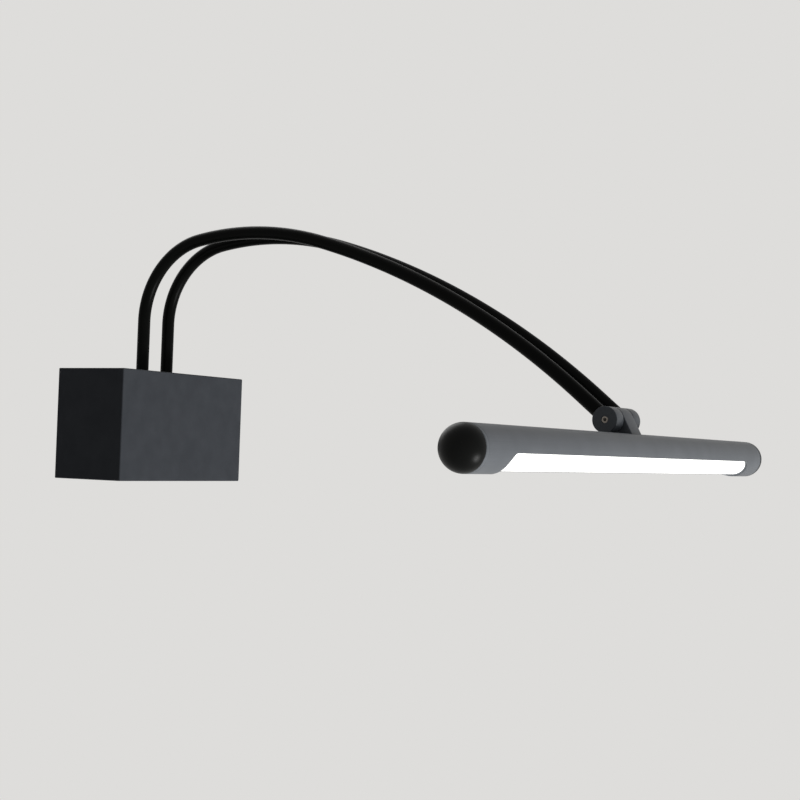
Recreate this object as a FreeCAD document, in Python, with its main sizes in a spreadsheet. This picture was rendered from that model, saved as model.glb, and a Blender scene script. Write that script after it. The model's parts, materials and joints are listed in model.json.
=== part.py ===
"""Wall picture light: a slim tube lamp carried on two bent rods by a driver box.

Millimetres. The origin is on the wall, at the centre of the box's fixing slots.
+X runs along the lamp, -Y points into the room and +Z points up.
The lamp head is drawn in its own frame (tube axis on X, window facing down) and
then hung from the hinge, tilted into the room by head_tilt.
"""

import FreeCAD, Part
import math
import os
import re
import Sketcher

App = FreeCAD
Vec = App.Vector
Turn = App.Rotation
X_AXIS = Vec(1, 0, 0)
Y_AXIS = Vec(0, 1, 0)
Z_AXIS = Vec(0, 0, 1)

SIZES = [
    ("box_width", 130.0, "driver box, along the lamp"),
    ("box_height", 74.0, "driver box, up the wall"),
    ("box_depth", 57.0, "driver box front, out from the wall"),
    ("box_wall", 2.5, "wall of the die-cast housing"),
    ("box_edge_radius", 0.8, "rounding of the housing's outer edges"),
    ("box_setback", 0.5, "shadow gap between housing and wall"),
    ("plate_thickness", 2.0, "sheet of the wall plate"),
    ("plate_clearance", 0.4, "wall plate inside the housing, each side"),
    ("flange_depth", 14.0, "folded flanges of the wall plate, out from the sheet"),
    ("flange_width", 96.0, "folded flanges, along the plate"),
    ("slot_spacing_across", 92.0, "wall fixing slots, centre to centre"),
    ("slot_spacing_up", 36.0, "wall fixing slots, centre to centre"),
    ("slot_width", 5.0, "wall fixing slots"),
    ("slot_length", 11.0, "wall fixing slots, end to end"),
    ("cable_hole", 8.0, "bore of the rubber grommet"),
    ("grommet_wall", 2.0, "rubber around the cable hole"),
    ("grommet_lip", 1.6, "grommet lip past its neck"),
    ("cover_screw_spacing", 70.0, "screws under the housing"),
    ("cover_screw_setback", 9.0, "screws under the housing, out from the wall"),
    ("small_screw", 3.0, "shank of the small machine screws"),
    ("small_screw_head", 5.5, "head of the small machine screws"),
    ("small_head_height", 1.6, "head of the small machine screws"),
    ("small_screw_length", 6.0, "shank length of the small machine screws"),
    ("thread_clearance", 0.05, "screw in its tapped hole, radial"),
    ("screw_clearance", 0.2, "screw in a plain hole, radial"),
    ("arm_depth", 28.5, "rod axis at the box, out from the wall"),
    ("rod_spacing", 26.0, "rods, centre to centre"),
    ("rod_diameter", 8.5, "bent rod, outside"),
    ("rod_bore", 5.0, "bent rod, inside"),
    ("rod_rise", 35.5, "straight foot of the rod above the box"),
    ("bend_radius", 55.5, "tight bend of the rod"),
    ("bend_angle", 80.0, "tight bend of the rod, degrees"),
    ("shoulder_radius", 220.0, "easing bend over the top"),
    ("shoulder_angle", 26.0, "easing bend, degrees"),
    ("sweep_radius", 515.0, "long sweep out to the lamp"),
    ("sweep_angle", 23.5, "long sweep, degrees"),
    ("rod_tail", 14.0, "straight end of the rod at the hinge"),
    ("stud_diameter", 7.0, "threaded foot of the rod inside the box"),
    ("stud_spare", 1.5, "thread past the nut"),
    ("clamp_width", 62.0, "stiffener under the housing's top"),
    ("clamp_depth", 22.0, "stiffener under the housing's top"),
    ("clamp_thickness", 3.0, "stiffener under the housing's top"),
    ("washer_diameter", 14.0, "rod washer"),
    ("washer_thickness", 1.2, "rod washer"),
    ("nut_across_flats", 11.0, "rod nut"),
    ("nut_height", 4.5, "rod nut"),
    ("stud_clearance", 0.1, "threaded foot in plate, washer and nut, radial"),
    ("knuckle_diameter", 15.5, "round knuckles and bracket head"),
    ("knuckle_width", 10.0, "knuckle, along the lamp"),
    ("knuckle_chamfer", 0.35, "broken edge of the knuckles"),
    ("spigot_length", 9.0, "knuckle spigot inside the rod"),
    ("spigot_clearance", 0.1, "spigot in the rod, radial"),
    ("pivot_diameter", 3.0, "pivot screw shank"),
    ("pivot_head", 4.0, "pivot screw head and nut"),
    ("pivot_head_height", 4.5, "pivot screw head and nut"),
    ("pivot_thread_depth", 2.5, "screw inside its round nut"),
    ("pivot_clearance", 0.05, "pivot in its bores, radial"),
    ("pivot_recess", 0.3, "screw head below the knuckle face"),
    ("hex_key", 2.0, "hexagon socket, across flats"),
    ("hex_depth", 1.5, "hexagon socket"),
    ("friction_washer", 14.0, "friction washer, outside"),
    ("friction_thickness", 0.5, "friction washer"),
    ("head_drop", 22.2, "hinge axis to tube axis"),
    ("head_tilt", 28.5, "lamp head turned into the room, degrees"),
    ("bracket_screw_spacing", 8.0, "screws up into the head bracket"),
    ("tube_diameter", 24.0, "lamp tube, outside"),
    ("tube_length", 416.0, "lamp tube without its end caps"),
    ("tube_wall", 1.4, "lamp tube"),
    ("window_margin", 26.5, "closed tube before the light window"),
    ("window_width", 19.3, "light window, across the tube"),
    ("window_corner", 7.0, "radius the cutter leaves in the window's corners"),
    ("web_height", 2.0, "underside of the inner web above the tube axis"),
    ("web_thickness", 2.0, "inner web of the extrusion"),
    ("plug_depth", 6.0, "end cap plug inside the tube"),
    ("plug_wall", 1.5, "wall of the plug"),
    ("plug_clearance", 0.1, "plug in the tube, radial"),
    ("diffuser_thickness", 1.5, "opal diffuser"),
    ("diffuser_angle", 150.0, "diffuser round the tube, degrees"),
    ("diffuser_lap", 5.0, "diffuser past each end of the window"),
    ("diffuser_clearance", 0.1, "diffuser inside the tube"),
    ("board_width", 12.0, "LED board"),
    ("board_thickness", 1.2, "LED board"),
    ("board_inset", 4.0, "LED board short of the window's end"),
    ("chip_pitch", 14.0, "LED chips along the board"),
    ("chip_length", 3.5, "LED chip"),
    ("chip_width", 2.8, "LED chip"),
    ("chip_height", 0.7, "LED chip"),
    ("driver_length", 84.0, "LED driver case"),
    ("driver_height", 32.0, "LED driver case"),
    ("driver_thickness", 20.0, "LED driver case"),
    ("driver_drop", 10.0, "LED driver below the box centre"),
    ("driver_gap", 3.0, "LED driver off the housing's front wall"),
    ("driver_corner", 2.0, "rounded corners of the driver case"),
    ("ear_length", 9.0, "driver mounting ears"),
    ("ear_width", 14.0, "driver mounting ears"),
    ("ear_thickness", 2.0, "driver mounting ears"),
    ("boss_diameter", 8.0, "bosses that carry the driver"),
    ("boss_height", 6.0, "bosses that carry the driver"),
    ("terminal_inset", 14.5, "terminal block off the housing's side wall"),
    ("terminal_length", 24.0, "terminal block"),
    ("terminal_height", 14.0, "terminal block"),
    ("terminal_depth", 12.0, "terminal block"),
    ("terminal_pitch", 8.0, "terminal block poles"),
    ("wire_hole", 3.4, "terminal block wire entries"),
    ("wire_entry_depth", 4.5, "terminal block wire entries"),
    ("wire_entry_height", 4.0, "wire entries above the wall plate"),
    ("terminal_screw", 3.4, "terminal screws"),
    ("terminal_screw_depth", 3.0, "terminal screws"),
    ("earth_offset", 30.0, "earth screw beside the cable hole"),
    ("cord_clamp_drop", 15.0, "cord clamp below the cable hole"),
    ("cord_clamp_length", 26.0, "cord clamp"),
    ("cord_clamp_width", 7.0, "cord clamp"),
    ("cord_clamp_thickness", 2.0, "cord clamp"),
    ("cord_clamp_gap", 5.0, "cord clamp above the wall plate"),
]

doc = App.newDocument("PictureLight")
sheet = doc.addObject("Spreadsheet::Sheet", "Sizes")
for row, (alias, size, note) in enumerate(SIZES, start=1):
    sheet.set(f"A{row}", alias)
    sheet.set(f"B{row}", str(size))
    sheet.set(f"C{row}", note)
    sheet.setAlias(f"B{row}", alias)
doc.recompute()

pieces = []


def number(text):
    """Value of an expression in the sheet's aliases."""
    return float(sheet.evalExpression(text))


def linked(text):
    """The same expression as seen from outside the sheet."""
    return re.sub(r"[a-z]+(?:_[a-z]+)+", lambda word: "Sizes." + word.group(), text)


def bind(thing, **fields):
    """Tie properties of an object to the sheet."""
    for field, text in fields.items():
        thing.setExpression(field.replace("__", "."), linked(text))
    return thing


def finish(thing, label, place=None):
    """Name a sub-part, put it in its place and list it for export."""
    thing.Label = label
    if place is not None:
        thing.Placement = place
    pieces.append(thing)
    return thing


# ---------------------------------------------------------------- sketches


def new_body(name):
    return doc.addObject("PartDesign::Body", name)


def new_sketch(body, plane, height="0"):
    """Sketch on one of the body's own planes, raised along the plane's normal."""
    sketch = body.newObject("Sketcher::SketchObject", body.Name + "_sketch")
    support = next(item for item in body.Origin.OriginFeatures if item.Role == plane + "_Plane")
    sketch.AttachmentSupport = [(support, "")]
    sketch.MapMode = "FlatFace"
    if height != "0":
        bind(sketch, AttachmentOffset__Base__z=height)
    return sketch


def tie(sketch, geometry, point, across, up):
    """Fix a point of the sketch at expressions measured from the sketch's origin."""
    for kind, text in (("DistanceX", across), ("DistanceY", up)):
        limit = Sketcher.Constraint(kind, -1, 1, geometry, point, number(text))
        index = sketch.addConstraint(limit)
        sketch.setExpression(f"Constraints[{index}]", linked(text))


def measure(sketch, kind, geometry, text, scale=1.0):
    """Give a radius, diameter, length or angle its expression."""
    limit = Sketcher.Constraint(kind, geometry, number(text) * scale)
    index = sketch.addConstraint(limit)
    unit = " * 1 deg" if kind == "Angle" else ""
    sketch.setExpression(f"Constraints[{index}]", linked(text) + unit)


def add_circle(sketch, across, up, diameter):
    centre = Vec(number(across), number(up), 0)
    circle = sketch.addGeometry(Part.Circle(centre, Z_AXIS, number(diameter) / 2), False)
    tie(sketch, circle, 3, across, up)
    measure(sketch, "Diameter", circle, diameter)
    return circle


def add_outline(sketch, corners):
    """Closed straight outline with every corner tied."""
    spots = [Vec(number(across), number(up), 0) for across, up in corners]
    count = len(spots)
    lines = [
        sketch.addGeometry(Part.LineSegment(spots[i], spots[(i + 1) % count]), False)
        for i in range(count)
    ]
    for i, (across, up) in enumerate(corners):
        sketch.addConstraint(Sketcher.Constraint("Coincident", lines[i - 1], 2, lines[i], 1))
        tie(sketch, lines[i], 1, across, up)
    return lines


def add_rectangle(sketch, across, up, width, height):
    """Rectangle about a centre."""
    left, right = f"({across}) - ({width}) / 2", f"({across}) + ({width}) / 2"
    low, high = f"({up}) - ({height}) / 2", f"({up}) + ({height}) / 2"
    return add_outline(sketch, [(left, low), (right, low), (right, high), (left, high)])


def add_arc(sketch, across, up, radius, start, end):
    """Arc about a tied centre; start and end are in degrees."""
    circle = Part.Circle(Vec(number(across), number(up), 0), Z_AXIS, number(radius))
    arc = Part.ArcOfCircle(circle, math.radians(start), math.radians(end))
    index = sketch.addGeometry(arc, False)
    tie(sketch, index, 3, across, up)
    measure(sketch, "Radius", index, radius)
    return index


def join(sketch, first, first_end, second, second_end):
    limit = Sketcher.Constraint("Coincident", first, first_end, second, second_end)
    sketch.addConstraint(limit)


def add_rounded_rectangle(sketch, length, width, radius):
    """Rectangle about the sketch's origin: corner arcs with the sides tangent between them."""
    across, up = f"(({length}) / 2 - {radius})", f"(({width}) / 2 - {radius})"
    arcs = [
        add_arc(sketch, right + across, top + up, radius, start, start + 90)
        for right, top, start in (("", "", 0), ("-", "", 90), ("-", "-", 180), ("", "-", 270))
    ]
    for before, after in zip(arcs, arcs[1:] + arcs[:1]):
        ends = sketch.getPoint(before, 2), sketch.getPoint(after, 1)
        side = sketch.addGeometry(Part.LineSegment(*ends), False)
        sketch.addConstraint(Sketcher.Constraint("Tangent", before, 2, side, 1))
        sketch.addConstraint(Sketcher.Constraint("Tangent", side, 2, after, 1))


def add_slot(sketch, across, up, length, width):
    """Long hole along the sketch's first axis."""
    reach = f"(({length}) - ({width})) / 2"
    half = f"({width}) / 2"
    right = add_arc(sketch, f"({across}) + {reach}", up, half, -90, 90)
    left = add_arc(sketch, f"({across}) - {reach}", up, half, 90, 270)
    x0, x1 = number(f"({across}) - {reach}"), number(f"({across}) + {reach}")
    y0, y1 = number(f"({up}) - {half}"), number(f"({up}) + {half}")
    top = sketch.addGeometry(Part.LineSegment(Vec(x1, y1, 0), Vec(x0, y1, 0)), False)
    bottom = sketch.addGeometry(Part.LineSegment(Vec(x0, y0, 0), Vec(x1, y0, 0)), False)
    for arc, end, line, start in ((right, 2, top, 1), (left, 1, top, 2), (left, 2, bottom, 1)):
        sketch.addConstraint(Sketcher.Constraint("Tangent", arc, end, line, start))
    sketch.addConstraint(Sketcher.Constraint("Tangent", bottom, 2, right, 1))


# ---------------------------------------------------------------- features


def pad(body, sketch, length, reverse=False, both=False):
    feature = body.newObject("PartDesign::Pad", body.Name + "_pad")
    feature.Profile = sketch
    feature.Reversed = reverse
    if both:
        feature.SideType = "Symmetric"
    return bind(feature, Length=length)


def pocket(body, sketch, depth=None, reverse=False, both=False):
    """Cut to a depth, or through everything; the cut has to remove something."""
    doc.recompute()
    before = body.Shape.Volume
    feature = body.newObject("PartDesign::Pocket", body.Name + "_pocket")
    feature.Profile = sketch
    feature.Reversed = reverse
    if both:
        feature.SideType = "Symmetric"
    if depth is None:
        feature.Type = "ThroughAll"
    else:
        bind(feature, Length=depth)
    doc.recompute()
    if not body.Shape.Volume < before - 1e-6:
        raise RuntimeError(f"{feature.Name} cuts nothing")
    return feature


def edges_where(body, test):
    """Names of the tip's edges whose middle point and direction pass the test."""
    doc.recompute()
    shape = body.Tip.Shape
    found = []
    for index, edge in enumerate(shape.Edges, start=1):
        middle = edge.valueAt((edge.FirstParameter + edge.LastParameter) / 2)
        if test(edge, middle):
            found.append(f"Edge{index}")
    return found


def dress(body, kind, size_field, size, test):
    """Fillet or chamfer the edges that pass the test."""
    names = edges_where(body, test)
    if not names:
        raise RuntimeError(f"{body.Name} has no edge to dress")
    base = body.Tip
    feature = body.newObject("PartDesign::" + kind, f"{body.Name}_{kind.lower()}")
    feature.Base = (base, names)
    return bind(feature, **{size_field: size})


def near(value, target):
    return abs(value - target) < 1e-4


# ---------------------------------------------------------------- loose solids


def cylinder(radius, height, **fields):
    return bind(doc.addObject("Part::Cylinder", "Rod"), Radius=radius, Height=height, **fields)


def block(length, width, height, **fields):
    return bind(doc.addObject("Part::Box", "Block"), Length=length, Width=width, Height=height, **fields)


def cut(base, tool):
    result = doc.addObject("Part::Cut", "Cut")
    result.Base = base
    result.Tool = tool
    return result


def fuse(*shapes):
    result = doc.addObject("Part::MultiFuse", "Fusion")
    result.Shapes = list(shapes)
    return result


def group(shapes):
    """Separate solids that share one sub-part."""
    result = doc.addObject("Part::Compound", "Group")
    result.Links = shapes
    return result


def place_at(thing, across="0", out="0", up="0"):
    bind(thing, Placement__Base__x=across, Placement__Base__y=out, Placement__Base__z=up)
    return thing


def ring(outside, inside, thickness):
    """Flat ring along Z with its underside at zero."""
    hole = cylinder(inside, f"({thickness}) + 2", Placement__Base__z="-1")
    return cut(cylinder(outside, thickness), hole)


def small_screw(direction):
    """Pan-head machine screw; the head's underside is at zero, the shank runs along direction."""
    head = cylinder("small_screw_head / 2", "small_head_height", Placement__Base__z="-small_head_height")
    shank = cylinder("small_screw / 2", "small_screw_length")
    screw = fuse(head, shank)
    screw.Placement = App.Placement(Vec(), Turn(Z_AXIS, direction))
    return screw


# ---------------------------------------------------------------- rod centre line


def arm_path():
    """Corner points, turns and end of the rods' centre line in the (out, up) plane.

    Heading 0 is straight up and 90 is straight out into the room.
    """
    out = number("-arm_depth")
    up = number("box_height / 2")
    rise_end = (out, up + number("rod_rise"))
    spans = []
    point, heading = rise_end, 0.0
    for name in ("bend", "shoulder", "sweep"):
        radius = number(name + "_radius")
        turn = number(name + "_angle")
        start, end = math.radians(heading), math.radians(heading + turn)
        centre = (point[0] - radius * math.cos(start), point[1] - radius * math.sin(start))
        spans.append((name, centre, radius, start, end))
        point = (centre[0] + radius * math.cos(end), centre[1] + radius * math.sin(end))
        heading += turn
    tail = number("rod_tail") + number("knuckle_diameter / 2")
    end = math.radians(heading)
    hinge = (point[0] - tail * math.sin(end), point[1] + tail * math.cos(end))
    return (out, up), rise_end, spans, point, hinge, heading


FOOT, RISE_END, ARCS, SWEEP_END, HINGE, END_HEADING = arm_path()
hinge_point = Vec(0, HINGE[0], HINGE[1])
knuckle_place = App.Placement(hinge_point, Turn(X_AXIS, END_HEADING - 180))
hinge_frame = App.Placement(hinge_point, Turn(X_AXIS, -number("head_tilt")))
tube_frame = hinge_frame.multiply(App.Placement(Vec(0, 0, -number("head_drop")), Turn()))


def in_tube(position, rotation=None):
    """Placement given in the lamp tube's own frame."""
    return tube_frame.multiply(App.Placement(position, rotation or Turn()))


# ---------------------------------------------------------------- driver box

PLATE_WIDTH = "box_width - 2 * box_wall - 2 * plate_clearance"
PLATE_HEIGHT = "box_height - 2 * box_wall - 2 * plate_clearance"
BOSS_SPACING = "driver_length + ear_length"
BOX_FLOOR = "box_depth - box_wall"
TERMINAL_MIDDLE = "box_width / 2 - box_wall - terminal_inset - terminal_length / 2"


def make_wall_plate():
    body = new_body("WallPlate")
    sketch = new_sketch(body, "XZ")
    add_rectangle(sketch, "0", "0", PLATE_WIDTH, PLATE_HEIGHT)
    pad(body, sketch, "plate_thickness")
    flanges = new_sketch(body, "XZ")
    for side in ("", "-"):
        middle = f"{side}(({PLATE_HEIGHT}) - plate_thickness) / 2"
        add_rectangle(flanges, "0", middle, "flange_width", "plate_thickness")
    pad(body, flanges, "plate_thickness + flange_depth")
    slots = new_sketch(body, "XZ")
    for across in ("slot_spacing_across / 2", "-slot_spacing_across / 2"):
        for up in ("slot_spacing_up / 2", "-slot_spacing_up / 2"):
            add_slot(slots, across, up, "slot_length", "slot_width")
    pocket(body, slots, reverse=True)
    holes = new_sketch(body, "XZ")
    add_circle(holes, "0", "0", "cable_hole + 2 * grommet_wall")
    tapped = "small_screw + 2 * thread_clearance"
    add_circle(holes, "-earth_offset", "0", tapped)
    for side in ("", "-"):
        add_circle(holes, f"{side}(cord_clamp_length - cord_clamp_width) / 2", "-cord_clamp_drop", tapped)
    pocket(body, holes, "plate_thickness + 1", reverse=True)
    fixings = new_sketch(body, "XY")
    for side in ("", "-"):
        add_circle(fixings, f"{side}cover_screw_spacing / 2", "-cover_screw_setback", tapped)
    pocket(body, fixings)
    finish(body, "wall_plate")


def make_grommet():
    """Rubber grommet: a neck in the plate's hole between two lips."""
    body = new_body("Grommet")
    neck = "cable_hole / 2 + grommet_wall"
    lip = f"{neck} + grommet_lip"
    inner = "plate_thickness + grommet_lip"
    sketch = new_sketch(body, "YZ")
    add_outline(sketch, [
        ("0", "cable_hole / 2"),
        ("0", neck),
        ("-plate_thickness", neck),
        ("-plate_thickness", lip),
        (f"-({inner})", lip),
        (f"-({inner})", "cable_hole / 2"),
    ])
    turned = body.newObject("PartDesign::Revolution", "Grommet_turned")
    turned.Profile = sketch
    turned.ReferenceAxis = (sketch, ["H_Axis"])
    turned.Angle = 360
    finish(body, "cable_grommet")


def make_housing():
    """Die-cast cover, open at the back, with driver bosses on its front wall."""
    body = new_body("Housing")
    sketch = new_sketch(body, "XZ", "box_setback")
    add_rectangle(sketch, "0", "0", "box_width", "box_height")
    pad(body, sketch, "box_depth - box_setback")
    back = -number("box_setback")
    dress(body, "Fillet", "Radius", "box_edge_radius", lambda edge, spot: not near(spot.y, back))
    hollow = new_sketch(body, "XZ", "box_setback")
    add_rectangle(hollow, "0", "0", "box_width - 2 * box_wall", "box_height - 2 * box_wall")
    pocket(body, hollow, f"{BOX_FLOOR} - box_setback", reverse=True)
    bosses = new_sketch(body, "XZ", BOX_FLOOR)
    pilots = new_sketch(body, "XZ", BOX_FLOOR)
    for side in ("", "-"):
        across = f"{side}({BOSS_SPACING}) / 2"
        add_circle(bosses, across, "-driver_drop", "boss_diameter")
        add_circle(pilots, across, "-driver_drop", "small_screw + 2 * thread_clearance")
    pad(body, bosses, "boss_height", reverse=True)
    pocket(body, pilots, "boss_height + 1")
    studs = new_sketch(body, "XY")
    for side in ("", "-"):
        add_circle(studs, f"{side}rod_spacing / 2", "-arm_depth", "stud_diameter + 2 * stud_clearance")
    pocket(body, studs, reverse=True)
    seats = new_sketch(body, "XY", "-box_height / 2")
    shanks = new_sketch(body, "XY")
    for side in ("", "-"):
        across = f"{side}cover_screw_spacing / 2"
        add_circle(seats, across, "-cover_screw_setback", "small_screw_head + 2 * screw_clearance")
        add_circle(shanks, across, "-cover_screw_setback", "small_screw + 2 * screw_clearance")
    pocket(body, seats, "small_head_height", reverse=True)
    pocket(body, shanks)
    finish(body, "driver_housing")


def make_cover_screws():
    screws = []
    for side in ("", "-"):
        screw = small_screw(Z_AXIS)
        place_at(screw, f"{side}cover_screw_spacing / 2", "-cover_screw_setback",
                 "small_head_height - box_height / 2")
        screws.append(screw)
    finish(group(screws), "housing_screws")


def make_driver():
    """Potted LED driver: a rounded case between two slotted ears."""
    body = new_body("Driver")
    top = f"{BOX_FLOOR} - boss_height - ear_thickness"
    sketch = new_sketch(body, "XZ", top)
    add_rectangle(sketch, "0", "-driver_drop", "driver_length + 2 * ear_length", "ear_width")
    pad(body, sketch, "ear_thickness")
    case = new_sketch(body, "XZ", f"{BOX_FLOOR} - driver_gap - driver_thickness")
    add_rectangle(case, "0", "-driver_drop", "driver_length", "driver_height")
    pad(body, case, "driver_thickness")
    half = number("driver_length / 2")
    case_long = number("driver_thickness")
    dress(body, "Fillet", "Radius", "driver_corner",
          lambda edge, spot: near(abs(spot.x), half) and near(edge.Length, case_long))
    holes = new_sketch(body, "XZ", top)
    for side in ("", "-"):
        add_circle(holes, f"{side}({BOSS_SPACING}) / 2", "-driver_drop", "small_screw + 2 * screw_clearance")
    pocket(body, holes, "ear_thickness", reverse=True)
    finish(body, "led_driver")


def make_driver_screws():
    screws = []
    for side in ("", "-"):
        screw = small_screw(-Y_AXIS)
        place_at(screw, f"{side}({BOSS_SPACING}) / 2", f"boss_height + ear_thickness - ({BOX_FLOOR})",
                 "-driver_drop")
        screws.append(screw)
    finish(group(screws), "driver_screws")


def make_terminal_block():
    body = new_body("TerminalBlock")
    sketch = new_sketch(body, "XZ", "plate_thickness")
    add_rectangle(sketch, TERMINAL_MIDDLE, "0", "terminal_length", "terminal_height")
    pad(body, sketch, "terminal_depth")
    screws = new_sketch(body, "XZ", "plate_thickness + terminal_depth")
    wires = new_sketch(body, "XY", "-terminal_height / 2")
    for pole in ("- terminal_pitch", "", "+ terminal_pitch"):
        across = f"{TERMINAL_MIDDLE} {pole}"
        add_circle(screws, across, "0", "terminal_screw + 2 * thread_clearance")
        add_circle(wires, across, "-(plate_thickness + wire_entry_height)", "wire_hole")
    pocket(body, screws, "terminal_screw_depth")
    pocket(body, wires, "wire_entry_depth", reverse=True)
    finish(body, "terminal_block")


def make_terminal_screws():
    screws = []
    for pole in ("- terminal_pitch", "", "+ terminal_pitch"):
        screw = cylinder("terminal_screw / 2", "terminal_screw_depth")
        screw.Placement = App.Placement(Vec(), Turn(X_AXIS, 90))
        place_at(screw, f"{TERMINAL_MIDDLE} {pole}",
                 "terminal_screw_depth - plate_thickness - terminal_depth", "0")
        screws.append(screw)
    finish(group(screws), "terminal_screws")


def make_earth_screw():
    screw = small_screw(Y_AXIS)
    finish(screw, "earth_screw")
    bind(screw.Shapes[1], Height="plate_thickness")
    place_at(screw, "-earth_offset", "-plate_thickness", "0")


def make_cord_clamp():
    """Saddle that grips the cable below the grommet."""
    body = new_body("CordClamp")
    sketch = new_sketch(body, "XY", "-cord_clamp_drop")
    foot, top = "-plate_thickness", "-(plate_thickness + cord_clamp_gap)"
    outer = f"{top} - cord_clamp_thickness"
    step = "cord_clamp_length / 2 - cord_clamp_width"
    inner_step = f"{step} - cord_clamp_thickness"
    add_outline(sketch, [
        ("cord_clamp_length / 2", foot),
        ("cord_clamp_length / 2", f"{foot} - cord_clamp_thickness"),
        (step, f"{foot} - cord_clamp_thickness"),
        (step, outer),
        (f"-({step})", outer),
        (f"-({step})", f"{foot} - cord_clamp_thickness"),
        ("-cord_clamp_length / 2", f"{foot} - cord_clamp_thickness"),
        ("-cord_clamp_length / 2", foot),
        (f"-({inner_step})", foot),
        (f"-({inner_step})", top),
        (inner_step, top),
        (inner_step, foot),
    ])
    pad(body, sketch, "cord_clamp_width", both=True)
    holes = new_sketch(body, "XZ", "plate_thickness")
    for side in ("", "-"):
        add_circle(holes, f"{side}(cord_clamp_length - cord_clamp_width) / 2", "-cord_clamp_drop",
                   "small_screw + 2 * screw_clearance")
    pocket(body, holes, "cord_clamp_thickness", reverse=True)
    finish(body, "cord_clamp")


def make_cord_clamp_screws():
    screws = []
    for side in ("", "-"):
        screw = small_screw(Y_AXIS)
        bind(screw.Shapes[1], Height="plate_thickness + cord_clamp_thickness")
        place_at(screw, f"{side}(cord_clamp_length - cord_clamp_width) / 2",
                 "-(plate_thickness + cord_clamp_thickness)", "-cord_clamp_drop")
        screws.append(screw)
    finish(group(screws), "cord_clamp_screws")


# ---------------------------------------------------------------- rods and their nuts

CLAMP_TOP = "box_height / 2 - box_wall"
CLAMP_UNDER = f"{CLAMP_TOP} - clamp_thickness"
STUD_LENGTH = "box_wall + clamp_thickness + washer_thickness + nut_height + stud_spare"


def make_clamp_plate():
    body = new_body("ClampPlate")
    sketch = new_sketch(body, "XY", CLAMP_UNDER)
    add_rectangle(sketch, "0", "-arm_depth", "clamp_width", "clamp_depth")
    for side in ("", "-"):
        add_circle(sketch, f"{side}rod_spacing / 2", "-arm_depth", "stud_diameter + 2 * stud_clearance")
    pad(body, sketch, "clamp_thickness")
    finish(body, "arm_clamp_plate")


def draw_arm_path(sketch):
    """Foot, three tangent arcs and a straight tail, as the tube bender sees them."""
    foot = sketch.addGeometry(
        Part.LineSegment(Vec(*FOOT, 0), Vec(*RISE_END, 0)), False)
    tie(sketch, foot, 1, "-arm_depth", "box_height / 2")
    sketch.addConstraint(Sketcher.Constraint("Vertical", foot))
    measure(sketch, "Distance", foot, "rod_rise")
    before, before_end = foot, 2
    for name, centre, radius, start, end in ARCS:
        circle = Part.Circle(Vec(*centre, 0), Z_AXIS, radius)
        arc = sketch.addGeometry(Part.ArcOfCircle(circle, start, end), False)
        sketch.addConstraint(Sketcher.Constraint("Tangent", before, before_end, arc, 1))
        measure(sketch, "Radius", arc, name + "_radius")
        measure(sketch, "Angle", arc, name + "_angle", math.pi / 180)
        before = arc
    tail = sketch.addGeometry(Part.LineSegment(Vec(*SWEEP_END, 0), Vec(*HINGE, 0)), False)
    sketch.addConstraint(Sketcher.Constraint("Tangent", before, 2, tail, 1))
    measure(sketch, "Distance", tail, "rod_tail + knuckle_diameter / 2")


def make_rod(label, side):
    """Hollow bent rod: threaded foot through the box top, end coped round its knuckle."""
    body = new_body("Rod")
    path = new_sketch(body, "YZ")
    draw_arm_path(path)
    section = new_sketch(body, "XY", "box_height / 2")
    add_circle(section, "0", "-arm_depth", "rod_diameter")
    add_circle(section, "0", "-arm_depth", "rod_bore")
    pipe = body.newObject("PartDesign::AdditivePipe", "Rod_pipe")
    pipe.Profile = section
    pipe.Spine = (path, [])
    foot = new_sketch(body, "XY", "box_height / 2")
    add_circle(foot, "0", "-arm_depth", "stud_diameter")
    add_circle(foot, "0", "-arm_depth", "rod_bore")
    pad(body, foot, STUD_LENGTH, reverse=True)
    coping = new_sketch(body, "YZ")
    doc.recompute()
    circle = Part.Circle(Vec(*HINGE, 0), Z_AXIS, number("knuckle_diameter / 2"))
    seat = coping.addGeometry(circle, False)
    coping.addExternal(path.Name, f"Edge{len(ARCS) + 2}")
    join(coping, seat, 3, -3, 2)
    measure(coping, "Diameter", seat, "knuckle_diameter")
    pocket(body, coping, "2 * rod_diameter", both=True)
    finish(body, label)
    bind(body, Placement__Base__x=f"{side}rod_spacing / 2")


def make_nuts_and_washers():
    washers, nuts = [], []
    hole = "stud_diameter / 2 + stud_clearance"
    washer_under = f"{CLAMP_UNDER} - washer_thickness"
    for side in ("", "-"):
        washer = ring("washer_diameter / 2", hole, "washer_thickness")
        washers.append(place_at(washer, f"{side}rod_spacing / 2", "-arm_depth", washer_under))
        prism = doc.addObject("Part::Prism", "Hexagon")
        prism.Polygon = 6
        bind(prism, Circumradius="nut_across_flats / sqrt(3)", Height="nut_height")
        bored = cut(prism, cylinder(hole, "nut_height + 2", Placement__Base__z="-1"))
        nuts.append(place_at(bored, f"{side}rod_spacing / 2", "-arm_depth", f"{washer_under} - nut_height"))
    finish(group(washers), "arm_washers")
    finish(group(nuts), "arm_nuts")


# ---------------------------------------------------------------- hinge

KNUCKLE_GAP = "rod_spacing - knuckle_width"
HINGE_WIDTH = "rod_spacing + knuckle_width"
BRACKET_WIDTH = f"{KNUCKLE_GAP} - 2 * friction_thickness"


def add_hexagon(sketch, across_flats):
    """Hexagon about the sketch's origin."""
    radius = f"({across_flats}) / sqrt(3)"
    corners = [(f"{radius} * cos({60 * i})", f"{radius} * sin({60 * i})") for i in range(6)]
    add_outline(sketch, corners)


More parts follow.
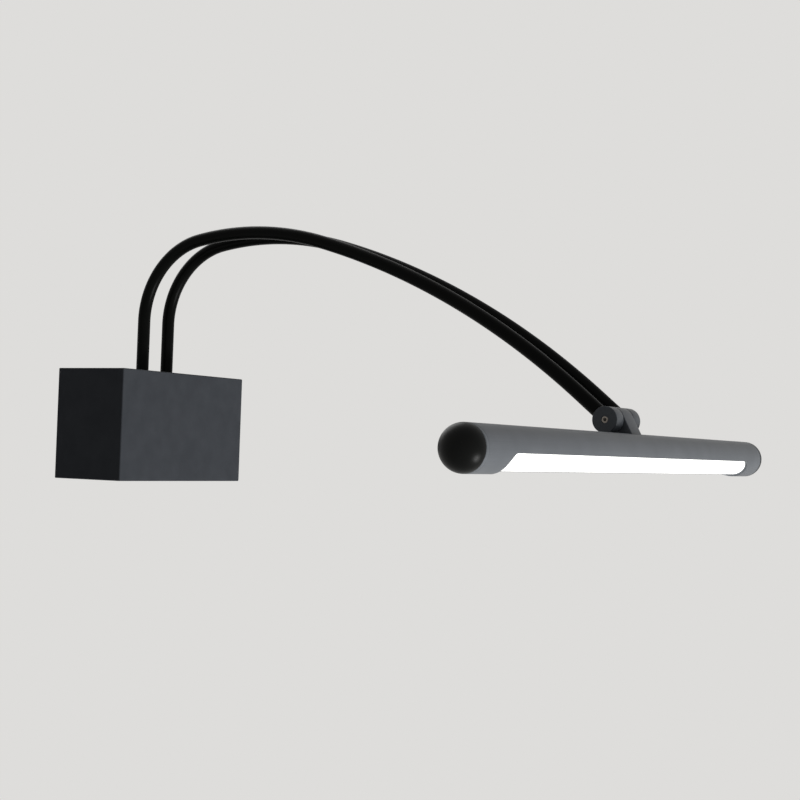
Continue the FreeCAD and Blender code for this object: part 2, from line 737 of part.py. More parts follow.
def make_knuckle(label, side, spin):
    """Turned disc with a spigot into the rod and a seat for the pivot's head; outer face at -X."""
    body = new_body("Knuckle")
    disc = new_sketch(body, "YZ")
    add_circle(disc, "0", "0", "knuckle_diameter")
    pad(body, disc, "knuckle_width", both=True)
    dress(body, "Chamfer", "Size", "knuckle_chamfer", lambda edge, spot: edge.Closed)
    spigot = new_sketch(body, "XY")
    add_circle(spigot, "0", "0", "rod_bore - 2 * spigot_clearance")
    pad(body, spigot, "knuckle_diameter / 2 + spigot_length")
    bore = new_sketch(body, "YZ")
    add_circle(bore, "0", "0", "pivot_diameter + 2 * pivot_clearance")
    pocket(body, bore, "2 * knuckle_width", both=True)
    seat = new_sketch(body, "YZ", "-knuckle_width / 2")
    add_circle(seat, "0", "0", "pivot_head + 2 * pivot_clearance")
    pocket(body, seat, "pivot_recess + pivot_head_height", reverse=True)
    place = knuckle_place.multiply(App.Placement(Vec(), Turn(Z_AXIS, spin)))
    finish(body, label, place)
    bind(body, Placement__Base__x=f"{side}rod_spacing / 2")


def make_friction_washers():
    washers = []
    for shift in (f"-({KNUCKLE_GAP}) / 2", f"({KNUCKLE_GAP}) / 2 - friction_thickness"):
        washer = ring("friction_washer / 2", "pivot_diameter / 2 + pivot_clearance", "friction_thickness")
        washer.Placement = App.Placement(hinge_point, Turn(Y_AXIS, 90))
        bind(washer, Placement__Base__x=shift)
        washers.append(washer)
    finish(group(washers), "friction_washers")


def make_pivot_screw():
    """Flush socket-head pivot: head in the left knuckle, thread in the nut on the right."""
    body = new_body("PivotScrew")
    face = f"-(({HINGE_WIDTH}) / 2 - pivot_recess)"
    head = new_sketch(body, "YZ", face)
    add_circle(head, "0", "0", "pivot_head")
    pad(body, head, "pivot_head_height")
    shank = new_sketch(body, "YZ", f"{face} + pivot_head_height")
    add_circle(shank, "0", "0", "pivot_diameter")
    reach = f"({HINGE_WIDTH}) - 2 * (pivot_recess + pivot_head_height) + pivot_thread_depth"
    pad(body, shank, reach)
    socket = new_sketch(body, "YZ", face)
    add_hexagon(socket, "hex_key")
    pocket(body, socket, "hex_depth", reverse=True)
    finish(body, "pivot_screw", App.Placement(hinge_point, Turn()))


def make_pivot_nut():
    """Round nut with a matching socket, flush in the right knuckle."""
    body = new_body("PivotNut")
    face = f"({HINGE_WIDTH}) / 2 - pivot_recess"
    barrel = new_sketch(body, "YZ", face)
    add_circle(barrel, "0", "0", "pivot_head")
    pad(body, barrel, "pivot_head_height", reverse=True)
    thread = new_sketch(body, "YZ", f"{face} - pivot_head_height")
    add_circle(thread, "0", "0", "pivot_diameter + 2 * thread_clearance")
    pocket(body, thread, "pivot_thread_depth", reverse=True)
    socket = new_sketch(body, "YZ", face)
    add_hexagon(socket, "hex_key")
    pocket(body, socket, "hex_depth")
    finish(body, "pivot_nut", App.Placement(hinge_point, Turn()))


def make_head_bracket():
    """Tongue between the knuckles: round head, straight sides, foot coped to the tube."""
    body = new_body("HeadBracket")
    half = "knuckle_diameter / 2"
    outline = new_sketch(body, "YZ")
    head = add_arc(outline, "0", "0", half, 0, 180)
    x, z = number(half), -number("head_drop")
    left = outline.addGeometry(Part.LineSegment(Vec(-x, 0, 0), Vec(-x, z, 0)), False)
    base = outline.addGeometry(Part.LineSegment(Vec(-x, z, 0), Vec(x, z, 0)), False)
    right = outline.addGeometry(Part.LineSegment(Vec(x, z, 0), Vec(x, 0, 0)), False)
    outline.addConstraint(Sketcher.Constraint("Tangent", head, 2, left, 1))
    outline.addConstraint(Sketcher.Constraint("Tangent", right, 2, head, 1))
    join(outline, left, 2, base, 1)
    join(outline, base, 2, right, 1)
    outline.addConstraint(Sketcher.Constraint("Vertical", right))
    tie(outline, base, 1, f"-({half})", "-head_drop")
    outline.addConstraint(Sketcher.Constraint("Horizontal", base))
    pad(body, outline, BRACKET_WIDTH, both=True)
    saddle = new_sketch(body, "YZ")
    add_circle(saddle, "0", "-head_drop", "tube_diameter")
    pocket(body, saddle, f"2 * ({BRACKET_WIDTH})", both=True)
    bore = new_sketch(body, "YZ")
    add_circle(bore, "0", "0", "pivot_diameter + 2 * pivot_clearance")
    pocket(body, bore, f"2 * ({BRACKET_WIDTH})", both=True)
    taps = new_sketch(body, "XY", "tube_diameter / 2 - tube_wall - head_drop")
    for side in ("", "-"):
        add_circle(taps, f"{side}bracket_screw_spacing / 2", "0", "small_screw + 2 * thread_clearance")
    pocket(body, taps, "small_screw_length + thread_clearance", reverse=True)
    finish(body, "head_bracket", hinge_frame)


SCREW_SEAT = "sqrt((tube_diameter / 2 - tube_wall)^2 - (small_screw_head / 2)^2)"


def make_bracket_screws():
    """Screws from inside the tube, their heads resting on its curved wall."""
    screws = []
    for side in ("", "-"):
        screw = small_screw(Z_AXIS)
        place_at(screw, f"{side}bracket_screw_spacing / 2", "0", SCREW_SEAT)
        screws.append(screw)
    finish(group(screws), "bracket_screws", tube_frame)


# ---------------------------------------------------------------- lamp head

WINDOW_LENGTH = "tube_length - 2 * window_margin"
INNER_RADIUS = "tube_diameter / 2 - tube_wall"


def make_lamp_tube():
    """Extruded tube with an inner web; the light window is milled straight up from below."""
    body = new_body("LampTube")
    section = new_sketch(body, "YZ")
    add_circle(section, "0", "0", "tube_diameter")
    add_circle(section, "0", "0", "tube_diameter - 2 * tube_wall")
    pad(body, section, "tube_length", both=True)
    web = new_sketch(body, "YZ")
    reach = "tube_diameter / 2 - tube_wall / 2"
    web_half = f"sqrt(({reach})^2 - (web_height + web_thickness)^2)"
    add_rectangle(web, "0", "web_height + web_thickness / 2", f"2 * {web_half}", "web_thickness")
    pad(body, web, "tube_length - 2 * (plug_depth + plug_clearance)", both=True)
    window = new_sketch(body, "XY")
    add_rounded_rectangle(window, WINDOW_LENGTH, "window_width", "window_corner")
    pocket(body, window)
    taps = new_sketch(body, "XY", "web_height + web_thickness + small_head_height")
    for side in ("", "-"):
        add_circle(taps, f"{side}bracket_screw_spacing / 2", "0", "small_screw + 2 * screw_clearance")
    pocket(body, taps, reverse=True)
    finish(body, "lamp_tube", tube_frame)


def make_end_cap(label, spin):
    """Hemispherical cap on a hollow plug; the dome points to -X and the seam is at X = 0."""
    body = new_body("EndCap")
    dome = "tube_diameter / 2"
    plug = f"{INNER_RADIUS} - plug_clearance"
    bore = f"{plug} - plug_wall"
    profile = new_sketch(body, "XZ")
    arc = add_arc(profile, "0", "0", dome, 90, 180)
    corners = [
        ("0", dome),
        ("0", plug),
        ("plug_depth", plug),
        ("plug_depth", bore),
        ("0", bore),
        ("0", "0"),
        (f"-({dome})", "0"),
    ]
    spots = [Vec(number(along), number(up), 0) for along, up in corners]
    lines = [
        profile.addGeometry(Part.LineSegment(first, second), False)
        for first, second in zip(spots, spots[1:])
    ]
    join(profile, arc, 1, lines[0], 1)
    for before, after, corner in zip(lines, lines[1:], corners[1:]):
        join(profile, before, 2, after, 1)
        tie(profile, before, 2, *corner)
    join(profile, lines[-1], 2, arc, 2)
    profile.addConstraint(Sketcher.Constraint("Vertical", lines[0]))
    profile.addConstraint(Sketcher.Constraint("Horizontal", lines[-1]))
    turned = body.newObject("PartDesign::Revolution", "EndCap_turned")
    turned.Profile = profile
    turned.ReferenceAxis = (profile, ["H_Axis"])
    turned.Angle = 360
    side = -1 if spin == 0 else 1
    seam = Vec(side * number("tube_length") / 2, 0, 0)
    finish(body, label, in_tube(seam, Turn(Z_AXIS, spin)))


def make_diffuser():
    """Opal strip, an arc of a tube, sprung against the tube behind the window."""
    outside = f"{INNER_RADIUS} - diffuser_clearance"
    length = f"{WINDOW_LENGTH} + 2 * diffuser_lap"
    skin = cylinder(outside, length, Angle="diffuser_angle")
    core = cylinder(f"{outside} - diffuser_thickness", f"{length} + 2", Placement__Base__z="-1")
    centred = Turn(Y_AXIS, 90).multiply(Turn(Z_AXIS, -number("diffuser_angle") / 2))
    place = in_tube(Vec(-number(length) / 2, 0, 0), centred)
    finish(cut(skin, core), "diffuser", place)


def make_led_board():
    length = f"{WINDOW_LENGTH} - 2 * board_inset"
    board = block(length, "board_width", "board_thickness")
    corner = Vec(-number(length) / 2, -number("board_width") / 2, number("web_height - board_thickness"))
    finish(board, "led_board", in_tube(corner))


def make_led_chips():
    """One row of chips under the board."""
    span = number(f"{WINDOW_LENGTH} - 2 * board_inset - 2 * chip_length")
    count = int(span // number("chip_pitch")) + 1
    chips = []
    for index in range(count):
        chip = block("chip_length", "chip_width", "chip_height")
        shift = f"({index} - {(count - 1) / 2}) * chip_pitch - chip_length / 2"
        place_at(chip, shift, "-chip_width / 2", "web_height - board_thickness - chip_height")
        chips.append(chip)
    finish(group(chips), "led_chips", tube_frame)


# ---------------------------------------------------------------- build and export

make_wall_plate()
make_grommet()
make_housing()
make_cover_screws()
make_driver()
make_driver_screws()
make_terminal_block()
make_terminal_screws()
make_earth_screw()
make_cord_clamp()
make_cord_clamp_screws()
make_clamp_plate()
make_rod("arm_rod_left", "-")
make_rod("arm_rod_right", "")
make_nuts_and_washers()
make_knuckle("knuckle_left", "-", 0)
make_knuckle("knuckle_right", "", 180)
make_friction_washers()
make_pivot_screw()
make_pivot_nut()
make_head_bracket()
make_bracket_screws()
make_lamp_tube()
make_end_cap("end_cap_left", 0)
make_end_cap("end_cap_right", 180)
make_diffuser()
make_led_board()
make_led_chips()

doc.recompute()
for thing in doc.Objects:
    if "Invalid" in thing.State or "Error" in thing.State:
        raise RuntimeError(f"{thing.Name} ({thing.Label}) failed: {thing.State}")

os.makedirs("parts", exist_ok=True)
for piece in pieces:
    if piece.Shape.isNull() or not piece.Shape.isValid():
        raise RuntimeError(f"{piece.Label} has no valid shape")
    piece.Shape.exportStep(f"parts/{piece.Label}.step")
    print(piece.Label, len(piece.Shape.Solids), round(piece.Shape.Volume, 1))
print("hinge", [round(value, 3) for value in hinge_point], "heading", END_HEADING)
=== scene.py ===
"""Picture light: smooth surfaces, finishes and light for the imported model.

Every length is in metres, in the part's own frame: the wall is the plane y = 0,
+X runs along the lamp, -Y points into the room and +Z points up.
"""

import json
import math

import bpy
import bmesh
import numpy as np
from mathutils import Matrix, Vector


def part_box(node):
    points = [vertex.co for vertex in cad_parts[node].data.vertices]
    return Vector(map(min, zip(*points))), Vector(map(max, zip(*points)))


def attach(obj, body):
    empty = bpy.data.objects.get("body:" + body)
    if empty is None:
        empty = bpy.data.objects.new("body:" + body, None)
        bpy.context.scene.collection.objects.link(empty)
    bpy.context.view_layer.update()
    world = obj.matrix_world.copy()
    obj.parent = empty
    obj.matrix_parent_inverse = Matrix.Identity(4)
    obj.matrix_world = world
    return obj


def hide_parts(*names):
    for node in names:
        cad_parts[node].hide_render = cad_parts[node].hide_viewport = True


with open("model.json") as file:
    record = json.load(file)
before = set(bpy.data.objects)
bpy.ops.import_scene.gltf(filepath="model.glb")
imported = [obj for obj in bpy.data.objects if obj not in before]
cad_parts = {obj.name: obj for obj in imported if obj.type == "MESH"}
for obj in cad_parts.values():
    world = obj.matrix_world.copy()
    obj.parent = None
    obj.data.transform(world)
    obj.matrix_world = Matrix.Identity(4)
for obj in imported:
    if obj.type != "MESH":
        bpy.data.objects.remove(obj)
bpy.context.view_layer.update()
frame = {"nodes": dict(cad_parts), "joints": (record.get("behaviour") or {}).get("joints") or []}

MM = 0.001

# ---------------------------------------------------------------- sizes shared with the model

ROD_DIAMETER = 8.5 * MM
ROD_SPACING = 26.0 * MM
ARM_DEPTH = 28.5 * MM
ROD_RISE = 35.5 * MM
ROD_ARCS = ((55.5 * MM, 80.0), (220.0 * MM, 26.0), (515.0 * MM, 23.5))  # radius, turn in degrees
ROD_TAIL = 14.0 * MM
STUD_DIAMETER = 7.0 * MM
STUD_SPARE = 1.5 * MM
KNUCKLE_DIAMETER = 15.5 * MM
KNUCKLE_WIDTH = 10.0 * MM
KNUCKLE_EDGE = 0.35 * MM
PIVOT_DIAMETER = 3.0 * MM
PIVOT_HEAD = 4.0 * MM
PIVOT_HEAD_HEIGHT = 4.5 * MM
PIVOT_THREAD = 2.5 * MM
PIVOT_RECESS = 0.3 * MM
HEX_KEY = 2.0 * MM
HEX_DEPTH = 1.5 * MM
BRACKET_WIDTH = 15.0 * MM
HEAD_DROP = 22.2 * MM
HEAD_TILT = math.radians(28.5)
TUBE_RADIUS = 12.0 * MM
TUBE_LENGTH = 416.0 * MM
TUBE_WALL = 1.4 * MM
WINDOW_MARGIN = 26.5 * MM
WINDOW_WIDTH = 19.3 * MM
WINDOW_CORNER = 7.0 * MM
WEB_HEIGHT = 2.0 * MM
WEB_THICKNESS = 2.0 * MM
PLUG_DEPTH = 6.0 * MM
PLUG_WALL = 1.5 * MM
DIFFUSER_THICKNESS = 1.5 * MM
DIFFUSER_ANGLE = math.radians(150.0)
DIFFUSER_LAP = 5.0 * MM
CHIP_PITCH = 14.0 * MM
SLIDING_FIT = 0.1 * MM

# ---------------------------------------------------------------- places

tilt = next(joint for joint in frame["joints"] if joint["name"] == "head_tilt")
HINGE = Vector(tilt["pos_m"])
BOX_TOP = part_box("driver_housing")[1].z
HINGE_FRAME = Matrix.Translation(HINGE) @ Matrix.Rotation(-HEAD_TILT, 4, "X")
TUBE_FRAME = HINGE_FRAME @ Matrix.Translation((0, 0, -HEAD_DROP))
TURNED_ROUND = Matrix.Rotation(math.pi, 4, "Z")

# ---------------------------------------------------------------- meshes from grids

WELD_DISTANCE = 0.001 * MM
SLIVER = 0.0001 * MM


def solid(name, grids, body, material, node=None, matrix=None, sharp=35.0):
    """One object from grids of points, each (points[u, v, xyz], wrapped).

    Neighbours on a grid make quads, and a wrapped grid closes on itself along v. The grids are
    placed by the matrix, p' = R p + t; coinciding points are merged and faces turned outwards.
    Edges where the surface turns by more than sharp degrees stay crisp.
    """
    vertices, faces, start = [], [], 0
    for points, wrapped in grids:
        rows, columns = points.shape[:2]
        index = np.arange(rows * columns).reshape(rows, columns) + start
        if wrapped:
            index = np.hstack([index, index[:, :1]])
        corners = [index[:-1, :-1], index[1:, :-1], index[1:, 1:], index[:-1, 1:]]
        vertices.append(points.reshape(-1, 3))
        faces.append(np.stack(corners, axis=-1).reshape(-1, 4))
        start += rows * columns
    move = np.array(matrix or Matrix())
    points = np.vstack(vertices) @ move[:3, :3].T + move[:3, 3]
    mesh = bpy.data.meshes.new(name)
    mesh.from_pydata(points.tolist(), [], np.vstack(faces).tolist())
    work = bmesh.new()
    work.from_mesh(mesh)
    bmesh.ops.remove_doubles(work, verts=work.verts, dist=WELD_DISTANCE)
    bmesh.ops.dissolve_degenerate(work, edges=work.edges, dist=SLIVER)
    bmesh.ops.recalc_face_normals(work, faces=work.faces)
    work.to_mesh(mesh)
    work.free()
    mesh.shade_smooth()
    mesh.set_sharp_from_angle(angle=math.radians(sharp))
    mesh.materials.append(material)
    piece = bpy.data.objects.new(name, mesh)
    bpy.context.scene.collection.objects.link(piece)
    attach(piece, body)
    if node:
        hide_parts(node)
    return piece


def turned(profile, segments=96):
    """Surface of revolution about X: (x, r) becomes (x, r cos a, r sin a)."""
    along, radius = np.array(profile, float).T
    angle = np.linspace(0, 2 * math.pi, segments, endpoint=False)
    points = np.empty((len(along), segments, 3))
    points[..., 0] = along[:, None]
    points[..., 1] = radius[:, None] * np.cos(angle)
    points[..., 2] = radius[:, None] * np.sin(angle)
    return points, True


def quarter_round(x, r, size, start):
    """Quarter circle (x + s cos a, r + s sin a), from the angle start, in degrees, over 90 more."""
    angle = math.radians(start) + np.linspace(0, math.pi / 2, 6)
    return np.stack([x + size * np.cos(angle), r + size * np.sin(angle)], axis=1)


def hexagon_ring(x, flats, count):
    """Ring on a hexagon about X, even by angle: r = (flats / 2) / cos(a mod 60 - 30)."""
    angle = np.linspace(0, 2 * math.pi, count, endpoint=False)
    radius = flats / 2 / np.cos(np.mod(angle, math.pi / 3) - math.pi / 6)
    return np.stack([np.full(count, x), radius * np.cos(angle), radius * np.sin(angle)], axis=-1)


def socket_head(face, depth):
    """Pivot head with its outer face at x = face and its body from there to face + depth.

    Rings run from the back's centre over the rim and the eased edge to the face, and then
    down the hexagon to the drilled cone at its floor.
    """
    segments = 96
    edge, countersink, lead, cone = 0.25 * MM, 1.25, 0.12 * MM, 0.3 * MM
    radius = PIVOT_HEAD / 2
    way = math.copysign(1.0, depth)
    rim = [
        (face + depth, 0.0),
        (face + depth, radius),
        (face + way * edge, radius),
        (face + way * edge * 0.3, radius - edge * 0.3),
        (face, radius - edge),
        (face, HEX_KEY / 2 * countersink),
    ]
    mouth = hexagon_ring(face + way * lead, HEX_KEY, segments)
    floor = hexagon_ring(face + way * HEX_DEPTH, HEX_KEY, segments)
    tip = np.zeros((1, segments, 3))
    tip[..., 0] = face + way * (HEX_DEPTH + cone)
    return np.vstack([turned(rim, segments)[0], mouth[None], floor[None], tip]), True


def capped(rings):
    """Close both ends of a run of rings: every point of one more ring is the end's centre."""
    first = np.broadcast_to(rings[0].mean(0), rings[:1].shape)
    last = np.broadcast_to(rings[-1].mean(0), rings[:1].shape)
    return np.concatenate([first, rings, last]), True


# ---------------------------------------------------------------- materials

RAMP = "ShaderNodeValToRGB"
BUMP = "ShaderNodeBump"
MATH = "ShaderNodeMath"
VECTOR_MATH = "ShaderNodeVectorMath"


def srgb(code):
    """Hex sRGB to linear RGBA."""
    values = [int(code[i:i + 2], 16) / 255 for i in (1, 3, 5)]
    linear = [v / 12.92 if v <= 0.04045 else ((v + 0.055) / 1.055) ** 2.4 for v in values]
    return (*linear, 1.0)


def feed(tree, node, inputs):
    """Give sockets, by name or number, a value, another node's output, or a node's first output."""
    for socket, source in inputs.items():
        if isinstance(source, bpy.types.Node):
            source = source.outputs[0]
        if isinstance(source, bpy.types.NodeSocket):
            tree.links.new(source, node.inputs[socket])
        else:
            node.inputs[socket].default_value = source


def add(tree, kind, inputs=None, stops=(), **properties):
    """Add a node with its settings and its links.

    stops are a colour ramp's marks, each (position, hex code or grey level).
    """
    node = tree.nodes.new(kind)
    for name, value in properties.items():
        setattr(node, name, value)
    feed(tree, node, inputs or {})
    if stops:
        marks = node.color_ramp.elements
        while len(marks) < len(stops):
            marks.new(0.5)
        for mark, (position, shade) in zip(marks, stops):
            mark.position = position
            mark.color = srgb(shade) if isinstance(shade, str) else (shade, shade, shade, 1)
    return node


def new_material(name):
    """A material, its node tree, its shader, and the piece's own coordinates in metres."""
    material = bpy.data.materials.new(name)
    material.use_nodes = True
    tree = material.node_tree
    place = add(tree, "ShaderNodeTexCoord").outputs["Object"]
    return material, tree, tree.nodes["Principled BSDF"], place


def blotches(tree, place, size, detail=2.0, stretch=(1, 1, 1)):
    """Cloudy pattern with blotches about size metres wide, stretch times as long along an axis."""
    scale = [1 / (size * times) for times in stretch]
    mapping = add(tree, "ShaderNodeMapping", {"Vector": place, "Scale": scale})
    return add(tree, "ShaderNodeTexNoise", {"Vector": mapping, "Scale": 1.0, "Detail": detail})


def skin(tree, shader, cloud, shades, grain, gloss, depth, strength=0.5):
    """Colour drifts with the cloud; gloss and a relief of the given depth follow the grain."""
    feed(tree, shader, {
        "Base Color": add(tree, RAMP, {"Fac": cloud}, shades),
        "Roughness": add(tree, RAMP, {"Fac": grain}, gloss),
        "Normal": add(tree, BUMP, {"Height": grain, "Strength": strength, "Distance": depth}),
    })


def powder_coat(name, dark, pale, roughness, ior, peel_size):
    """Baked powder: a satin skin with the fine orange peel of melted grains."""
    material, tree, shader, place = new_material(name)
    feed(tree, shader, {"IOR": ior})
    cloud = blotches(tree, place, 14 * MM, 3.0)
    peel = blotches(tree, place, peel_size)
    gloss = ((0.3, roughness - 0.04), (0.7, roughness + 0.05))
    skin(tree, shader, cloud, ((0.35, dark), (0.7, pale)), peel, gloss, 0.012 * MM)
    return material


def moulded(name, dark, pale, roughness, grain_size=0.4 * MM, depth=0.01 * MM, ior=1.49):
    """Moulded plastic or rubber: the spark-eroded grain of its tool, an even colour.

    The real grain is under 0.1 mm; it is drawn at grain_size, so that it shows.
    """
    material, tree, shader, place = new_material(name)
    feed(tree, shader, {"IOR": ior})
    cloud = blotches(tree, place, 18 * MM)
    grain = blotches(tree, place, grain_size)
    gloss = ((0.3, roughness - 0.03), (0.7, roughness + 0.05))
    skin(tree, shader, cloud, ((0.35, dark), (0.7, pale)), grain, gloss, depth)
    return material


def plated(name, shades, smooth, rough):
    """Plated or plain rolled metal: a grain along X under cloudy patches of passivation.

    Real rolling lines are under 0.1 mm apart; they are drawn at 0.35 mm, so that they show.
    """
    material, tree, shader, place = new_material(name)
    feed(tree, shader, {"Metallic": 1.0})
    cloud = blotches(tree, place, 9 * MM, 4.0)
    grain = blotches(tree, place, 0.35 * MM, 3.0, (60, 1, 1))
    tones = tuple(zip((0.3, 0.55, 0.75), shades))
    skin(tree, shader, cloud, tones, grain, ((0.3, smooth), (0.7, rough)), 0.004 * MM, 0.4)
    return material


def anodised_extrusion(name, dark, pale):
    """Drawn through a die, then dyed and sealed: a soft sheen with faint lines along the tube.

    Real die lines are about 0.1 mm apart; they are drawn at 0.5 mm, so that they show.
    """
    material, tree, shader, place = new_material(name)
    feed(tree, shader, {"Metallic": 0.2, "Specular IOR Level": 0.2})
    lines = blotches(tree, place, 0.5 * MM, 3.0, (300, 1, 1))
    cloud = blotches(tree, place, 22 * MM)
    streaks = add(tree, MATH, {0: lines, 1: cloud}, operation="MULTIPLY")
    gloss = ((0.3, 0.43), (0.7, 0.50))
    skin(tree, shader, streaks, ((0.15, dark), (0.4, pale)), lines, gloss, 0.006 * MM, 0.4)
    return material


def turned_metal(name, dark, pale, roughness, metallic, film=0.5, painted_socket_shade=None):
    """Turned on a lathe: rings about the pivot's axis, sin(2 pi r / feed), r = |(y, z) - hinge|.

    film is how much the clear surface film reflects. The last argument, a colour, darkens the hexagon
    socket: painted shade in its recess.
    The real feed is about 0.1 mm; it is drawn at 0.18 mm, so that it shows.
    """
    feed_marks = 0.18 * MM
    material, tree, shader, place = new_material(name)
    centred = add(tree, VECTOR_MATH, {0: place, 1: HINGE}, operation="SUBTRACT")
    flat = add(tree, VECTOR_MATH, {0: centred, 1: (0, 1, 1)}, operation="MULTIPLY")
    radius = add(tree, VECTOR_MATH, {0: flat}, operation="LENGTH").outputs["Value"]
    turns = add(tree, MATH, {0: radius, 1: 2 * math.pi / feed_marks}, operation="MULTIPLY")
    rings = add(tree, MATH, {0: turns}, operation="SINE")
    cloud = blotches(tree, place, 1.5 * MM)
    tone = add(tree, RAMP, {"Fac": cloud}, ((0.3, dark), (0.7, pale)))
    # Painted shade: the colour inside the hexagon socket is darkened, for the shade in its recess.
    if painted_socket_shade:
        across = add(tree, MATH, {0: radius, 1: HEX_KEY}, operation="DIVIDE")
        socket_shade_ramp = add(tree, RAMP, {"Fac": across}, ((0.44, painted_socket_shade), (0.52, "#FFFFFF")))
        tone = add(tree, VECTOR_MATH, {0: tone, 1: socket_shade_ramp}, operation="MULTIPLY")
    feed(tree, shader, {
        "Base Color": tone,
        "Metallic": metallic,
        "Roughness": roughness,
        "Specular IOR Level": film,
        "Normal": add(tree, BUMP, {"Height": rings, "Strength": 0.4, "Distance": 0.004 * MM}),
    })
    return material


def opal_acrylic(name):
    """Extruded opal strip lit from behind: cos(2 pi x / pitch) brightens it over each chip."""
    material, tree, shader, place = new_material(name)
    along = add(tree, "ShaderNodeSeparateXYZ", {0: place})
    turns = add(tree, MATH, {0: along, 1: 2 * math.pi / CHIP_PITCH}, operation="MULTIPLY")
    spots = add(tree, MATH, {0: turns}, operation="COSINE")
    haze = blotches(tree, place, 0.6 * MM)
    feed(tree, shader, {
        "Base Color": srgb("#F4F3EF"),
        "IOR": 1.49,
        "Roughness": add(tree, RAMP, {"Fac": haze}, ((0.3, 0.34), (0.7, 0.42))),
        "Emission Color": add(tree, RAMP, {"Fac": spots}, ((0.0, "#FCFBF6"), (1.0, "#FFFFFF"))),
        "Emission Strength": 1.3,
    })
    return material


# Everything here mirrors the pale backdrop, so the blacks' IOR and the greys' metallic and
# surface film are under the real ones; otherwise they would come out too light.

# Thick satin powder on a casting: an even charcoal that takes a broad, weak sheen.
BOX_BLACK = powder_coat(
    "satin_powder_coat_on_die_casting", "#43464B", "#494C51", 0.56, 1.15, 0.7 * MM)
# Thin smooth powder on drawn tube: deep black with a narrow line of light along each rod.
ROD_BLACK = powder_coat("smooth_powder_coat_on_tube", "#0A0B0A", "#0E0F0E", 0.33, 1.12, 0.5 * MM)
# Black-dyed anodising over lathe marks: dull gunmetal, faces darker than rims.
KNUCKLE_GREY = turned_metal(
    "gunmetal_anodised_turned_aluminium", "#484C51", "#4E5257", 0.40, 0.1, film=0.2)
# Grey-dyed anodising on an extrusion: a cool, even grey that shades softly round the tube.
TUBE_GREY = anodised_extrusion("gunmetal_anodised_aluminium", "#686C71", "#71757A")
# Glass-filled nylon from a fine-grained tool: black, with one soft spot of light on the dome.
CAP_BLACK = moulded("black_moulded_nylon_cap", "#111211", "#141514", 0.33, ior=1.18)
# Clear-passivated zinc on rolled steel: pale, cloudy and softly mirrored.
ZINC = plated("bright_zinc_plated_steel", ("#A9ACAE", "#BFC2C3", "#B7B6AC"), 0.28, 0.42)
# Machined brass, left plain: warm yellow, a little brighter than the zinc.
BRASS = plated("plain_brass", ("#A98642", "#C29D58", "#CBA965"), 0.24, 0.36)
# Stainless bar, turned: a faintly warm ring round a socket darkened with painted shade.
PIVOT_STEEL = turned_metal(
    "stainless_steel_turned", "#8F867D", "#989088", 0.42, 0.5, painted_socket_shade="#38332F")
# Nitrile rubber: matt, dusty black that swallows light.
RUBBER = moulded("black_nitrile_rubber", "#0B0B0B", "#121211", 0.62, 0.3 * MM, 0.02 * MM)
# Polycarbonate case: off-white, with a low moulded sheen.
DRIVER_WHITE = moulded("white_polycarbonate_case", "#D9D9D4", "#E2E2DE", 0.40)
# Undyed polyamide: milky and slightly yellow.
TERMINAL = moulded("natural_polyamide_terminal", "#CFCDC2", "#DAD8CE", 0.45)
# Acetal washer: a thin, matt black line in the hinge.
WASHER = moulded("black_acetal_washer", "#0A0A0A", "#0F0F0F", 0.5)
# Opal acrylic, lit: an even, clean white in which the chips hardly show.
OPAL = opal_acrylic("opal_acrylic_lit")
# White solder mask over copper: smooth, cool white.
SOLDER_MASK = moulded("white_solder_mask", "#E6E8E6", "#EEF0EE", 0.30, 0.2 * MM)
# Phosphor in silicone: egg-yellow, slightly rubbery.
PHOSPHOR = moulded("phosphor_coated_package", "#E5C65A", "#EFD679", 0.5, 0.2 * MM)

CAD_FINISH = {
    "wall_plate": ZINC,
    "cable_grommet": RUBBER,
    "driver_housing": BOX_BLACK,
    "housing_screws": ZINC,
    "arm_clamp_plate": ZINC,
    "led_driver": DRIVER_WHITE,
    "driver_screws": ZINC,
    "terminal_block": TERMINAL,
    "terminal_screws": BRASS,
    "earth_screw": BRASS,
    "cord_clamp": ZINC,
    "cord_clamp_screws": ZINC,
    "arm_washers": ZINC,
    "arm_nuts": ZINC,
    "friction_washers": WASHER,
    "bracket_screws": ZINC,
    "led_board": SOLDER_MASK,
    "led_chips": PHOSPHOR,
}
for name, material in CAD_FINISH.items():
    slots = frame["nodes"][name].data.materials
    slots.clear()
    slots.append(material)

# ---------------------------------------------------------------- bent rods


def rod_line():
    """Centre line in (y, z): a straight foot, three tangent arcs and a straight tail.

    An arc of radius R from heading a to b adds R (cos b - cos a, sin b - sin a),
    where heading 0 is straight up and 90 is straight out into the room.
    """
    tail_in_knuckle = 0.18 * KNUCKLE_DIAMETER
    y, z, heading = -ARM_DEPTH, BOX_TOP + ROD_RISE, 0.0
    stretches = [[(y, BOX_TOP), (y, z)]]
    for radius, turn in ROD_ARCS:
        angles = heading + np.radians(turn) * np.linspace(0, 1, 90)[1:]
        ys = y + radius * (np.cos(angles) - math.cos(heading))
        zs = z + radius * (np.sin(angles) - math.sin(heading))
        stretches.append(np.stack([ys, zs], axis=1))
        y, z, heading = ys[-1], zs[-1], angles[-1]
    reach = ROD_TAIL + tail_in_knuckle
    stretches.append([(y - reach * math.sin(heading), z + reach * math.cos(heading))])
    return np.vstack(stretches)


def swept(line, radius, across, segments=72):
    """Round bar about a line in the (y, z) plane: c + r (cos a n + sin a X)."""
    run = np.gradient(line, axis=0)
    run /= np.linalg.norm(run, axis=1)[:, None]
    normal = np.stack([-run[:, 1], run[:, 0]], axis=1)
    angle = np.linspace(0, 2 * math.pi, segments, endpoint=False)
    points = np.empty((len(line), segments, 3))
    points[..., 0] = across + radius * np.sin(angle)
    points[..., 1] = line[:, :1] + radius * normal[:, :1] * np.cos(angle)
    points[..., 2] = line[:, 1:] + radius * normal[:, 1:] * np.cos(angle)
    return capped(points)


